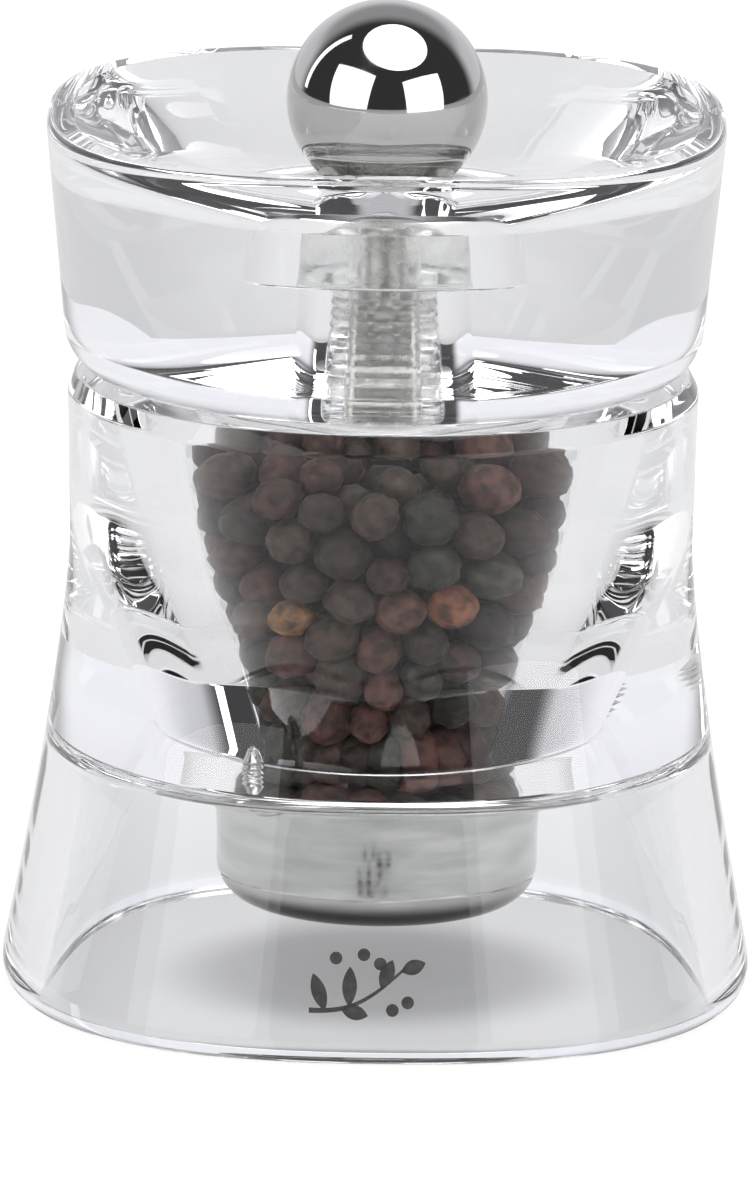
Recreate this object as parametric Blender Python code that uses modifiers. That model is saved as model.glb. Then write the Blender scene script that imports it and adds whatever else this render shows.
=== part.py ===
"""A compact clear acrylic pepper mill: rounded square body and head, steel ball knob, steel grinding unit.

Sizes are in millimetres and are turned into metres where the meshes are made. The origin is the centre of
the base, on the surface that the mill stands on. +Z is up, along the grinding shaft.
"""

import math

import bmesh
import bpy
from mathutils import Vector

MM = 0.001
GAP = 0.15  # left between two pieces that touch

# Body: a block of acrylic with a chamber for the peppercorns above, and a hollow skirt below.
BODY_HEIGHT = 50.0
BASE_HALF = 30.5  # half the width across the flats, where the flare would reach the table
WAIST_HALF = 25.0
WAIST_Z = 36.0
SHOULDER_HALF = 25.3
FLARE_POWER = 1.35
SHOULDER_CHAMFER = (0.8, 1.5)  # across and down
SHOULDER_ROUND = 1.0
FOOT_ROUND = 1.8
SKIRT_WALL = 3.6
CEILING_Z = 20.0
CEILING_ROUND = 1.5
BODY_SQUARING = (19.75, 21.7)  # round inside the first radius, fully squared outside the second
HEAD_SQUARING = (11.0, 22.0)

# Powers of the rounded square's outline at three heights, where 2 would be a circle.
BASE_SQUARENESS = 2.45
JOINT_SQUARENESS = 2.15
RIM_SQUARENESS = 2.8

# Chamber: round, open above and below, and drawn in towards the grinder.
MOUTH_R = 16.6
THROAT_R = 12.2

# Head: the turning top, dished round the knob.
HEAD_BOTTOM_Z = BODY_HEIGHT + 2 * GAP
HEAD_TOP_Z = 71.0
RIM_HALF = 27.2
HEAD_LOW_HALF = 25.3
RIM_ROUND = 0.8
HEAD_LOW_ROUND = 3.8
SEAT_Z = 64.8
SEAT_R = 10.8
DISH_SLOPE = 0.3  # rise per millimetre where the dish leaves the seat
RIM_INNER_HALF = 24.9

# Drive insert in the head's stepped bore, and the shaft that it turns.
INSERT_FLANGE_R = 8.7
INSERT_FLANGE_Z = 60.2
INSERT_STEM_R = 5.5
INSERT_BOTTOM_Z = HEAD_BOTTOM_Z + 0.4
SHAFT_SIDE = 5.0
SHAFT_CORNER = 0.5
SHAFT_SQUARE_Z = (8.75, 58.6)
ADJUST_TRAVEL = 0.875  # how far the shaft rises as the knob is tightened: 1.25 turns of a 0.7 mm pitch
THREAD_R = 2.4
THREAD_TOP_Z = 70.6
STUD_R = 1.6
STUD_BOTTOM_Z = 6.9
THREAD_CLEARANCE = 0.25

# Ball knob.
KNOB_R = 8.05
KNOB_Z = 72.0
KNOB_FLAT_Z = 65.4
KNOB_BORE_R = 3.7
KNOB_BORE_TOP_Z = 73.2
KNOB_WASHER_THICK = 0.4

# Grinding unit, hung under the ceiling of the skirt.
FLANGE_R = 18.0
FLANGE_Z = (18.0, 18.8)
HOUSING_R = 13.15
HOUSING_SHEET = 0.6
HOUSING_BOTTOM_Z = 6.6
HOUSING_ROUND = 3.2
HOUSING_MOUTH_R = 9.2
BRIDGE_Z = (16.7, 17.6)
BRIDGE_HUB_R = 6.6
BRIDGE_RIM = 1.6
BRIDGE_ARM = 2.6
GUIDE_R = 3.4
GUIDE_OUTER_R = 4.6
THRUST_WASHER_R = 5.5
SPACER_WALL = 0.95
CIRCLIP_WIDTH = 1.1
CIRCLIP_THICK = 0.8
CIRCLIP_OPENING = 50.0  # degrees left open between its ends
SPRING_MEAN_R = 4.3
SPRING_WIRE_R = 0.35
SPRING_TURNS = 4
SPRING_Z = (11.35, 15.75)
ROTOR_Z = (6.9, 11.2)
ROTOR_TEETH = 12
STATOR_Z = (7.4, 13.6)
STATOR_R = 12.35
STATOR_TEETH = 15
SCREW_CIRCLE_R = 16.1
SCREW_COUNT = 2
SCREW_R = 0.8
SCREW_HEAD_R = 1.4
SCREW_TIP_Z = 22.5
SCREW_FIRST_ANGLE = 57.0

BODY_STEPS = 48
ROUND_STEPS = 32
SMALL_STEPS = 20
SMOOTH_BELOW = math.radians(35)


# ---------------------------------------------------------------- materials


def material(name, colour, roughness, metallic=0.0, transmission=0.0):
    made = bpy.data.materials.new(name)
    made.use_nodes = True
    shader = made.node_tree.nodes["Principled BSDF"]
    shader.inputs["Base Color"].default_value = (*colour, 1.0)
    shader.inputs["Roughness"].default_value = roughness
    shader.inputs["Metallic"].default_value = metallic
    shader.inputs["Transmission Weight"].default_value = transmission
    return made


# ---------------------------------------------------------------- outlines


def rounded(corners, pieces=4):
    """An outline of (radius, height) points from corners (radius, height, rounding), with arcs at the corners."""
    outline = []
    count = len(corners)
    for index, (x, y, size) in enumerate(corners):
        here = Vector((x, y))
        if not size:
            outline.append(tuple(here))
            continue
        back = (Vector(corners[index - 1][:2]) - here).normalized()
        ahead = (Vector(corners[(index + 1) % count][:2]) - here).normalized()
        half = back.angle(ahead) / 2
        centre = here + (back + ahead).normalized() * size / math.sin(half)
        start = here + back * size / math.tan(half) - centre
        finish = here + ahead * size / math.tan(half) - centre
        turn = math.copysign(math.pi - 2 * half, start.cross(finish))
        for step in range(pieces + 1):
            angle = turn * step / pieces
            cosine, sine = math.cos(angle), math.sin(angle)
            turned_start = Vector((start.x * cosine - start.y * sine, start.x * sine + start.y * cosine))
            outline.append(tuple(centre + turned_start))
    return outline


def flare(height):
    """Half the body's width at a height: straight above the waist, and widening to the base below it."""
    if height >= WAIST_Z:
        share = (height - WAIST_Z) / (BODY_HEIGHT - WAIST_Z)
        return WAIST_HALF + (SHOULDER_HALF - WAIST_HALF) * share
    share = (WAIST_Z - height) / WAIST_Z
    return WAIST_HALF + (BASE_HALF - WAIST_HALF) * share**FLARE_POWER


def chamber_r(height):
    """The chamber's radius at a height: steep at the mouth, and leaning in more and more towards the throat."""
    share = (height - CEILING_Z) / (BODY_HEIGHT - CEILING_Z)
    return THROAT_R + (MOUTH_R - THROAT_R) * math.sin(share * math.pi / 2)


def dish(points=6):
    """The head's top, from the flat seat of the knob out to the rim: a slope that steepens outwards."""
    across = RIM_INNER_HALF - SEAT_R
    bend = ((HEAD_TOP_Z - SEAT_Z) / across - DISH_SLOPE) / across
    steps = [across * step / points for step in range(points + 1)]
    return [(SEAT_R + t, SEAT_Z + DISH_SLOPE * t + bend * t * t) for t in steps]


# ---------------------------------------------------------------- solids


def add(obj, surface):
    """Puts a new object in the mill's collection, with its one material."""
    bpy.data.collections["pepper_mill"].objects.link(obj)
    obj.data.materials.append(surface)
    return obj


def turned(name, outline, surface, steps=ROUND_STEPS, closed=True):
    """A turned piece: an outline at +X that runs down its outer side, swept round Z by a Screw modifier."""
    mesh = bpy.data.meshes.new(name)
    points = [(radius * MM, 0, height * MM) for radius, height in outline]
    edges = [(i, i + 1) for i in range(len(points) - 1)]
    if closed:
        edges.append((len(points) - 1, 0))
    mesh.from_pydata(points, edges, [])
    obj = add(bpy.data.objects.new(name, mesh), surface)
    screw = obj.modifiers.new("turn", "SCREW")
    screw.axis = "Z"
    screw.steps = screw.render_steps = steps
    screw.use_merge_vertices = True
    screw.merge_threshold = 0.00001
    return obj


def ring(name, inner, outer, low, high, surface, steps=ROUND_STEPS):
    """A plain ring or washer."""
    return turned(name, [(inner, high), (outer, high), (outer, low), (inner, low)], surface, steps)


def as_mesh(obj):
    """Replaces an object's data by its evaluated mesh, welded, with no modifiers left."""
    graph = bpy.context.evaluated_depsgraph_get()
    mesh = bpy.data.meshes.new_from_object(obj.evaluated_get(graph))
    work = bmesh.new()
    work.from_mesh(mesh)
    bmesh.ops.remove_doubles(work, verts=work.verts, dist=1e-7)
    work.to_mesh(mesh)
    work.free()
    if obj.type == "MESH":
        obj.modifiers.clear()
        obj.data = mesh
        return obj
    made = bpy.data.objects.new(obj.name, mesh)
    made.matrix_world = obj.matrix_world
    name = obj.name
    bpy.data.objects.remove(obj)
    made.name = name
    bpy.data.collections["pepper_mill"].objects.link(made)
    return made


def reshaped(obj, rule):
    """Moves each point of a turned piece in or out: rule gives its new radius from radius, angle and height."""
    as_mesh(obj)
    for vertex in obj.data.vertices:
        radius = math.hypot(vertex.co.x, vertex.co.y)
        if radius > 1e-6:
            angle = math.atan2(vertex.co.y, vertex.co.x)
            vertex.co.xy *= rule(radius / MM, angle, vertex.co.z / MM) * MM / radius
    return obj


def squareness(height):
    """The outline's power at a height: nearly a circle where head and body meet, squarer at the rim and base."""
    joint = (BODY_HEIGHT + HEAD_BOTTOM_Z) / 2
    if height > joint:
        return JOINT_SQUARENESS + (RIM_SQUARENESS - JOINT_SQUARENESS) * (height - joint) / (HEAD_TOP_Z - joint)
    return JOINT_SQUARENESS + (BASE_SQUARENESS - JOINT_SQUARENESS) * (joint - height) / joint


def squared(round_up_to, square_from):
    """A rule for reshaped: round near the axis, and a full superellipse at the outer walls."""

    def rule(radius, angle, height):
        share = min(1.0, max(0.0, (radius - round_up_to) / (square_from - round_up_to)))
        share = share * share * (3 - 2 * share)
        power = squareness(height)
        reach = (abs(math.cos(angle)) ** power + abs(math.sin(angle)) ** power) ** (-1 / power)
        return radius * (1 + share * (reach - 1))

    return rule


def cutter(name, mesh):
    """A helper object, left out of the model."""
    obj = bpy.data.objects.new(name, mesh)
    bpy.data.collections["cutters"].objects.link(obj)
    obj.hide_render = True
    obj.display_type = "WIRE"
    return obj


def prism(name, width, depth, low, high, place=(0.0, 0.0), sides=4):
    """A closed upright prism as a mesh: a box for four sides, or a polygon of that many sides."""
    mesh = bpy.data.meshes.new(name)
    work = bmesh.new()
    if sides == 4:
        bmesh.ops.create_cube(work, size=1.0)
        bmesh.ops.scale(work, vec=(width * MM, depth * MM, (high - low) * MM), verts=work.verts)
    else:
        bmesh.ops.create_cone(
            work,
            cap_ends=True,
            segments=sides,
            radius1=width / 2 * MM,
            radius2=width / 2 * MM,
            depth=(high - low) * MM,
        )
    middle = Vector((place[0], place[1], (low + high) / 2)) * MM
    bmesh.ops.translate(work, vec=middle, verts=work.verts)
    work.to_mesh(mesh)
    work.free()
    return mesh


def cut(obj, other, operation="DIFFERENCE"):
    boolean = obj.modifiers.new(operation.lower(), "BOOLEAN")
    boolean.operation = operation
    boolean.object = other


def smooth(obj):
    if obj.type == "MESH":
        obj.data.shade_smooth()
        obj.data.set_sharp_from_angle(angle=SMOOTH_BELOW)


# ---------------------------------------------------------------- the mill's pieces


def build_body(acrylic):
    wall = [(flare(height), height, 0) for height in (44.0, WAIST_Z, 30.0, 24.0, 18.0, 12.0, 6.0)]
    skirt = [(flare(height) - SKIRT_WALL, height, 0) for height in (0.0, 7.0, 14.0)]
    across, down = SHOULDER_CHAMFER
    corners = [
        (MOUTH_R, BODY_HEIGHT, 0.4),
        (SHOULDER_HALF - across, BODY_HEIGHT, 0.2),
        (SHOULDER_HALF, BODY_HEIGHT - down, SHOULDER_ROUND),
        *wall,
        (BASE_HALF, 0.0, FOOT_ROUND),
        *skirt,
        (flare(CEILING_Z) - SKIRT_WALL, CEILING_Z, CEILING_ROUND),
        *[(chamber_r(height), height, 0) for height in (CEILING_Z, 25.0, 30.0, 35.0, 40.0, 45.0)],
    ]
    body = turned("body", rounded(corners), acrylic, BODY_STEPS)
    return reshaped(body, squared(*BODY_SQUARING))


def build_head(acrylic):
    bore_r = INSERT_STEM_R + GAP
    step_r = INSERT_FLANGE_R + GAP
    corners = [
        (RIM_HALF, HEAD_TOP_Z, RIM_ROUND),
        (HEAD_LOW_HALF, HEAD_BOTTOM_Z, HEAD_LOW_ROUND),
        (bore_r, HEAD_BOTTOM_Z, 0),
        (bore_r, INSERT_FLANGE_Z - GAP, 0),
        (step_r, INSERT_FLANGE_Z - GAP, 0),
        (step_r, SEAT_Z, 0),
        (RIM_INNER_HALF, HEAD_TOP_Z, 0),
    ]
    outline = rounded(corners, pieces=5)[:-1]
    head = turned("head", dish() + outline, acrylic, BODY_STEPS)
    reshaped(head, squared(*HEAD_SQUARING))


def build_knob(steel, brass, rubber):
    low = math.asin((KNOB_FLAT_Z - KNOB_Z) / KNOB_R)
    points = 14
    ball = [math.pi / 2 + (low - math.pi / 2) * step / points for step in range(points + 1)]
    outline = [(KNOB_R * math.cos(a), KNOB_Z + KNOB_R * math.sin(a)) for a in ball]
    outline[0] = (0.0, KNOB_Z + KNOB_R)
    outline += [(KNOB_BORE_R, KNOB_FLAT_Z), (KNOB_BORE_R, KNOB_BORE_TOP_Z), (0.0, KNOB_BORE_TOP_Z)]
    turned("knob", outline, steel, closed=False)
    bush_r = THREAD_R + THREAD_CLEARANCE
    ring("knob_bush", bush_r, KNOB_BORE_R - GAP, KNOB_FLAT_Z, KNOB_BORE_TOP_Z - 0.4, brass, SMALL_STEPS)
    washer_low = KNOB_FLAT_Z - GAP - KNOB_WASHER_THICK
    ring("knob_washer", bush_r, 4.3, washer_low, KNOB_FLAT_Z - GAP, rubber, SMALL_STEPS)


def build_drive_insert(clear_plastic):
    top = SEAT_Z - 0.1
    hole_r = THREAD_R + THREAD_CLEARANCE
    outline = [
        (hole_r, top),
        (INSERT_FLANGE_R, top),
        (INSERT_FLANGE_R, INSERT_FLANGE_Z),
        (INSERT_STEM_R, INSERT_FLANGE_Z),
        (INSERT_STEM_R, INSERT_BOTTOM_Z),
        (hole_r, INSERT_BOTTOM_Z),
    ]
    insert = as_mesh(turned("drive_insert", outline, clear_plastic, 24))
    side = SHAFT_SIDE + 2 * GAP
    square = prism("drive_square", side, side, INSERT_BOTTOM_Z - 1, SHAFT_SQUARE_Z[1] + ADJUST_TRAVEL + 0.4)
    cut(insert, cutter("drive_square", square))


def build_shaft(steel):
    low, high = SHAFT_SQUARE_Z
    mesh = prism("shaft", SHAFT_SIDE, SHAFT_SIDE, low, high)
    shaft = add(bpy.data.objects.new("shaft", mesh), steel)
    bevel = shaft.modifiers.new("corners", "BEVEL")
    bevel.width = SHAFT_CORNER * MM
    bevel.segments = 1
    thread = prism("thread", 2 * THREAD_R, 0, high - 1, THREAD_TOP_Z, sides=16)
    stud = prism("stud", 2 * STUD_R, 0, STUD_BOTTOM_Z, low + 1, sides=16)
    cut(shaft, cutter("shaft_thread", thread), "UNION")
    cut(shaft, cutter("shaft_stud", stud), "UNION")


def build_housing(steel, seal):
    """The drawn steel cup of the grinding unit, its flange against the ceiling, and the seal between them."""
    sheet = HOUSING_SHEET
    inner_r = HOUSING_R - sheet
    corners = [
        (inner_r, FLANGE_Z[1], 0),
        (FLANGE_R, FLANGE_Z[1], 0.3),
        (FLANGE_R, FLANGE_Z[0], 0.3),
        (HOUSING_R, FLANGE_Z[0], 0),
        (HOUSING_R, HOUSING_BOTTOM_Z, HOUSING_ROUND),
        (HOUSING_MOUTH_R, HOUSING_BOTTOM_Z, 0),
        (HOUSING_MOUTH_R, HOUSING_BOTTOM_Z + sheet, 0),
        (inner_r, HOUSING_BOTTOM_Z + sheet, HOUSING_ROUND - sheet),
    ]
    housing = as_mesh(turned("grinder_housing", rounded(corners, pieces=3), steel, 36))
    for index, (x, y) in enumerate(screw_places()):
        hole = prism("flange_hole", 2 * (SCREW_R + GAP), 0, FLANGE_Z[0] - 1, FLANGE_Z[1] + 1, (x, y), 12)
        cut(housing, cutter(f"flange_hole_{index}", hole))
    seal_r = chamber_r(CEILING_Z) + GAP
    gasket = as_mesh(ring("flange_seal", seal_r, FLANGE_R - 0.3, FLANGE_Z[1] + GAP, CEILING_Z - GAP, seal))
    for index, (x, y) in enumerate(screw_places()):
        hole = prism("seal_hole", 2 * (SCREW_R + GAP), 0, FLANGE_Z[1] - 1, CEILING_Z + 1, (x, y), 12)
        cut(gasket, cutter(f"seal_hole_{index}", hole))


def screw_places():
    turns = [math.radians(SCREW_FIRST_ANGLE + 360 * k / SCREW_COUNT) for k in range(SCREW_COUNT)]
    return [(SCREW_CIRCLE_R * math.cos(a), SCREW_CIRCLE_R * math.sin(a)) for a in turns]


def build_screws(steel, body):
    """Pan-head screws up through the flange into the acrylic, and the holes that they cut."""
    head_top = FLANGE_Z[0] - GAP
    outline = [
        (0.0, SCREW_TIP_Z),
        (SCREW_R * 0.5, SCREW_TIP_Z - 0.3),
        (SCREW_R, SCREW_TIP_Z - 1.2),
        (SCREW_R, head_top),
        (SCREW_HEAD_R, head_top),
        (SCREW_HEAD_R, head_top - 0.6),
        (SCREW_HEAD_R * 0.7, head_top - 1.1),
        (0.0, head_top - 1.2),
    ]
    for index, (x, y) in enumerate(screw_places()):
        screw = as_mesh(turned(f"flange_screw_{index + 1}", outline, steel, 12, closed=False))
        slot = cutter(f"slot_{index}", prism("slot", 4.0, 0.45, head_top - 2.0, head_top - 0.75))
        slot.location = screw.location = (x * MM, y * MM, 0)
        cut(screw, slot)
        hole = prism("pilot", 2 * (SCREW_R + GAP), 0, CEILING_Z - 1, SCREW_TIP_Z + 0.3, (x, y), 12)
        cut(body, cutter(f"pilot_{index}", hole))


def kidney(points, inner, outer, first, last):
    """The closed outline of a slot between two radii and two angles."""
    angles = [first + (last - first) * step / points for step in range(points + 1)]
    outside = [(outer * math.cos(a), outer * math.sin(a)) for a in angles]
    inside = [(inner * math.cos(a), inner * math.sin(a)) for a in reversed(angles)]
    return outside + inside


def flat_piece(name, outlines, low, high, surface):
    """A flat piece between two heights, from its outline and those of its holes."""
    curve = bpy.data.curves.new(name, "CURVE")
    curve.dimensions = "2D"
    curve.fill_mode = "BOTH"
    curve.extrude = (high - low) / 2 * MM
    for outline in outlines:
        spline = curve.splines.new("POLY")
        spline.points.add(len(outline) - 1)
        spline.use_cyclic_u = True
        for point, (x, y) in zip(spline.points, outline):
            point.co = (x * MM, y * MM, 0, 1)
    piece = add(bpy.data.objects.new(name, curve), surface)
    piece.location.z = (low + high) / 2 * MM


def build_bridge(steel, guide_plastic):
    """The three-armed plate that holds the shaft's guide bush and takes the spring's push, the spacer that
    carries it above the stator, and the circlip that keeps it down."""
    outer_r = HOUSING_R - HOUSING_SHEET - GAP
    full = 2 * math.pi
    outlines = [[(outer_r * math.cos(full * k / 36), outer_r * math.sin(full * k / 36)) for k in range(36)]]
    hub_r = GUIDE_OUTER_R + GAP
    outlines.append([(hub_r * math.cos(full * k / 20), hub_r * math.sin(full * k / 20)) for k in range(20)])
    half_arm = BRIDGE_ARM / 2 / BRIDGE_HUB_R
    for arm in range(3):
        first = full * arm / 3 + half_arm
        last = full * (arm + 1) / 3 - half_arm
        outlines.append(kidney(8, BRIDGE_HUB_R, outer_r - BRIDGE_RIM, first, last))
    flat_piece("bridge_plate", outlines, *BRIDGE_Z, steel)
    ring("stator_spacer", outer_r - SPACER_WALL, outer_r, STATOR_Z[1] + GAP, BRIDGE_Z[0] - GAP, steel)
    half_open = math.radians(CIRCLIP_OPENING) / 2
    clip = kidney(30, outer_r - CIRCLIP_WIDTH, outer_r, half_open, full - half_open)
    clip_low = BRIDGE_Z[1] + GAP
    flat_piece("bridge_circlip", [clip], clip_low, clip_low + CIRCLIP_THICK, steel)
    flange_top = BRIDGE_Z[1] + 0.8
    outline = [
        (GUIDE_R, flange_top),
        (GUIDE_OUTER_R + 1.0, flange_top),
        (GUIDE_OUTER_R + 1.0, BRIDGE_Z[1] + GAP),
        (GUIDE_OUTER_R, BRIDGE_Z[1] + GAP),
        (GUIDE_OUTER_R, BRIDGE_Z[0]),
        (GUIDE_R, BRIDGE_Z[0]),
    ]
    turned("guide_bush", outline, guide_plastic, 24)


def build_spring(spring_steel, washer_steel):
    """The coil spring that pushes the rotor down, and the thrust washer that it pushes up against the bridge."""
    curve = bpy.data.curves.new("spring", "CURVE")
    curve.dimensions = "3D"
    curve.bevel_depth = SPRING_WIRE_R * MM
    curve.bevel_resolution = 1
    curve.use_fill_caps = True
    per_turn = 12
    count = SPRING_TURNS * per_turn
    low, high = SPRING_Z[0] + SPRING_WIRE_R, SPRING_Z[1] - SPRING_WIRE_R
    spline = curve.splines.new("POLY")
    spline.points.add(count)
    for step, point in enumerate(spline.points):
        angle = 2 * math.pi * step / per_turn
        x, y = SPRING_MEAN_R * math.cos(angle), SPRING_MEAN_R * math.sin(angle)
        point.co = (x * MM, y * MM, (low + (high - low) * step / count) * MM, 1)
    add(bpy.data.objects.new("spring", curve), spring_steel)
    ring("thrust_washer", GUIDE_R, THRUST_WASHER_R, SPRING_Z[1] + GAP, BRIDGE_Z[0] - GAP, washer_steel, 24)


def tooth(angle, height, teeth, lean, depth):
    """How far a spiral tooth's flank is cut back at an angle, as a share of one saw-tooth."""
    phase = (angle * teeth / (2 * math.pi) + lean * height) % 1.0
    return depth * (1 - phase)


def build_rotor(hard_steel, steel):
    """The conical inner grinder with its spiral teeth, and the washer and nut that hold it on the shaft."""
    low, high = ROTOR_Z
    bore = 3.9
    nut_room = 8.75
    outline = [
        (2.4, high),
        (4.9, high),
        (5.6, high - 1.2),
        (6.5, high - 2.4),
        (7.1, high - 3.4),
        (7.5, low),
        (bore, low),
        (bore, nut_room),
        (2.4, nut_room),
    ]

    def cut_back(radius, angle, height):
        if radius < 4.5:
            return radius
        return radius - tooth(angle, height, ROTOR_TEETH, 0.12, 0.35 + 0.16 * (height - low))

    rotor = reshaped(turned("rotor", outline, hard_steel, ROTOR_TEETH * 4), cut_back)
    side = SHAFT_SIDE + 2 * GAP
    cut(rotor, cutter("rotor_square", prism("rotor_square", side, side, nut_room - 1, high + 1)))
    washer_top = nut_room - GAP
    ring("rotor_washer", STUD_R + GAP, 3.4, washer_top - 0.4, washer_top, steel, SMALL_STEPS)
    nut = add(
        bpy.data.objects.new("rotor_nut", prism("rotor_nut", 5.8, 0, low + 0.1, washer_top - 0.55, sides=6)),
        steel,
    )
    hole = prism("nut_hole", 2 * (STUD_R + GAP), 0, low - 1, nut_room + 1, sides=16)
    cut(nut, cutter("nut_hole", hole))


def build_stator(hard_steel):
    """The fixed outer grinder: a ring with a toothed bore, open like a funnel above."""
    low, high = STATOR_Z
    outline = [
        (10.9, high),
        (STATOR_R, high),
        (STATOR_R, low + HOUSING_ROUND - HOUSING_SHEET),
        (STATOR_R - 2.2, low),
        (8.3, low),
        (8.0, low + 1.0),
        (7.7, low + 2.2),
        (8.6, low + 3.6),
    ]

    def cut_back(radius, angle, height):
        on_outside = radius > 9.5 or height > high - 1
        if on_outside:
            return radius
        return radius + tooth(angle, height, STATOR_TEETH, -0.1, 0.4 + 0.1 * (height - low))

    reshaped(turned("stator", outline, hard_steel, STATOR_TEETH * 4), cut_back)


def main():
    for old in list(bpy.data.objects):
        bpy.data.objects.remove(old)
    for name in ("pepper_mill", "cutters"):
        collection = bpy.data.collections.new(name)
        bpy.context.scene.collection.children.link(collection)
    bpy.data.collections["cutters"].hide_render = True

    acrylic = material("clear_acrylic", (0.97, 0.98, 0.98), 0.02, transmission=1.0)
    clear_plastic = material("clear_plastic", (0.92, 0.93, 0.9), 0.25, transmission=0.8)
    polished = material("polished_steel", (0.77, 0.77, 0.76), 0.05, metallic=1.0)
    brushed = material("brushed_steel", (0.66, 0.66, 0.64), 0.3, metallic=1.0)
    hardened = material("hardened_steel", (0.24, 0.24, 0.25), 0.42, metallic=1.0)
    brass = material("brass", (0.72, 0.56, 0.3), 0.3, metallic=1.0)
    rubber = material("black_rubber", (0.02, 0.02, 0.02), 0.6)
    seal = material("silicone_seal", (0.85, 0.85, 0.84), 0.5)

    body = build_body(acrylic)
    build_screws(brushed, body)
    build_head(acrylic)
    build_drive_insert(clear_plastic)
    build_shaft(brushed)
    build_knob(polished, brass, rubber)
    build_housing(brushed, seal)
    build_bridge(brushed, rubber)
    build_spring(brushed, brushed)
    build_rotor(hardened, brushed)
    build_stator(hardened)
    for obj in bpy.data.collections["pepper_mill"].objects:
        smooth(obj)


main()
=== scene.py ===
import math

import bmesh
import bpy
import numpy as np
from mathutils import Matrix, Vector, noise


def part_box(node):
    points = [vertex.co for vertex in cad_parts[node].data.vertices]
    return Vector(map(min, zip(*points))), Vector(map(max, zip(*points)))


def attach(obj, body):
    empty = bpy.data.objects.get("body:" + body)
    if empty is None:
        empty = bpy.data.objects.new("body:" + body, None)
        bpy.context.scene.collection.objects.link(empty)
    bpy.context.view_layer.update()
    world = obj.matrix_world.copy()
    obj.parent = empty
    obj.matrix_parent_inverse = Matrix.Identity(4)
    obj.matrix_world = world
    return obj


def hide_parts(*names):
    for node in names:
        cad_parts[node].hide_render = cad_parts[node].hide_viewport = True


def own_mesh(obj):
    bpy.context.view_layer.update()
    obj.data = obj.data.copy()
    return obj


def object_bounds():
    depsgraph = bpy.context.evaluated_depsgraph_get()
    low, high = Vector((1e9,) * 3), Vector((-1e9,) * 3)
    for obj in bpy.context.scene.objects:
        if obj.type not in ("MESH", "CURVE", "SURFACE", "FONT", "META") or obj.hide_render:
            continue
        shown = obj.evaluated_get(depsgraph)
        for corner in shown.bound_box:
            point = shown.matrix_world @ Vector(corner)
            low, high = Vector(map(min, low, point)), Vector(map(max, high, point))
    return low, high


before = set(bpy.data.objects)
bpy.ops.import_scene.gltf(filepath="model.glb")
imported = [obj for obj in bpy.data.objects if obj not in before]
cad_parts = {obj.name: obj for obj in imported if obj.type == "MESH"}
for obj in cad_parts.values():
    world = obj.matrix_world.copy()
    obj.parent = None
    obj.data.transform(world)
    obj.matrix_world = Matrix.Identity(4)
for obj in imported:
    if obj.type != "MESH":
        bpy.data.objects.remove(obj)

cad_low, cad_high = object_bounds()

# Sizes are in millimetres and angles in radians, unless a name says otherwise. +Z is up the grinding shaft,
# and -Y is the front.
MM = 0.001
BODY, HEAD, SPINDLE, STACK, SEAT, KNOB = "mill_body", "head", "spindle", "turning_stack", "knob_seat", "knob"


def span(node):
    """A node's lowest and highest corners at rest."""
    low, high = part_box(node)
    return [v / MM for v in low], [v / MM for v in high]


def levels(node):
    """The heights of a node's underside and top."""
    low, high = span(node)
    return low[2], high[2]


def outer_r(node):
    return span(node)[1][0]


# ---------------------------------------------------------------- outlines and swept solids


def rounded(corners, pieces=6):
    """An outline of (radius, height) points from corners (radius, height, rounding), with arcs for corners
    that have a rounding."""
    outline = []
    count = len(corners)
    for index, (x, y, size) in enumerate(corners):
        here = Vector((x, y))
        if not size:
            outline.append(tuple(here))
            continue
        back = (Vector(corners[index - 1][:2]) - here).normalized()
        ahead = (Vector(corners[(index + 1) % count][:2]) - here).normalized()
        half = back.angle(ahead) / 2
        centre = here + (back + ahead).normalized() * size / math.sin(half)
        start = here + back * size / math.tan(half) - centre
        finish = here + ahead * size / math.tan(half) - centre
        turn = math.copysign(math.pi - 2 * half, start.cross(finish))
        for step in range(pieces + 1):
            angle = turn * step / pieces
            cosine, sine = math.cos(angle), math.sin(angle)
            turned = Vector((start.x * cosine - start.y * sine, start.x * sine + start.y * cosine))
            outline.append(tuple(centre + turned))
    return outline


def finished(name, mesh, body, surface, sharp_over=40.0):
    """Links a mesh as a piece that rides on a body. Edges sharper than sharp_over degrees stay sharp."""
    mesh.shade_smooth()
    mesh.set_sharp_from_angle(angle=math.radians(sharp_over))
    mesh.materials.clear()
    mesh.materials.append(surface)
    piece = bpy.data.objects.new(name, mesh)
    bpy.context.scene.collection.objects.link(piece)
    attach(piece, body)
    return piece


def swept(name, outline, steps=96, swell=None, closed=True):
    """A mesh turned about Z from an outline that runs down its outer side. swell(radius, angle, height)
    gives each point's own radius, on arrays."""
    radius, height = np.array(outline, float).T
    angle = np.arange(steps) * 2 * np.pi / steps
    radii = np.repeat(radius[:, None], steps, 1)
    angles = np.repeat(angle[None, :], len(outline), 0)
    heights = np.repeat(height[:, None], steps, 1)
    if swell:
        radii = swell(radii, angles, heights)
    points = np.stack([radii * np.cos(angles), radii * np.sin(angles), heights], -1).reshape(-1, 3) * MM
    rows = len(outline) if closed else len(outline) - 1
    faces = []
    for row in range(rows):
        here, below = row * steps, (row + 1) % len(outline) * steps
        for step in range(steps):
            beside = (step + 1) % steps
            faces.append((here + step, below + step, below + beside, here + beside))
    mesh = bpy.data.meshes.new(name)
    mesh.from_pydata(points.tolist(), [], faces)
    return welded(mesh)


def welded(mesh):
    work = bmesh.new()
    work.from_mesh(mesh)
    bmesh.ops.remove_doubles(work, verts=work.verts, dist=1e-7)
    bmesh.ops.dissolve_degenerate(work, edges=work.edges, dist=1e-8)
    work.to_mesh(mesh)
    work.free()
    return mesh


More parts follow.
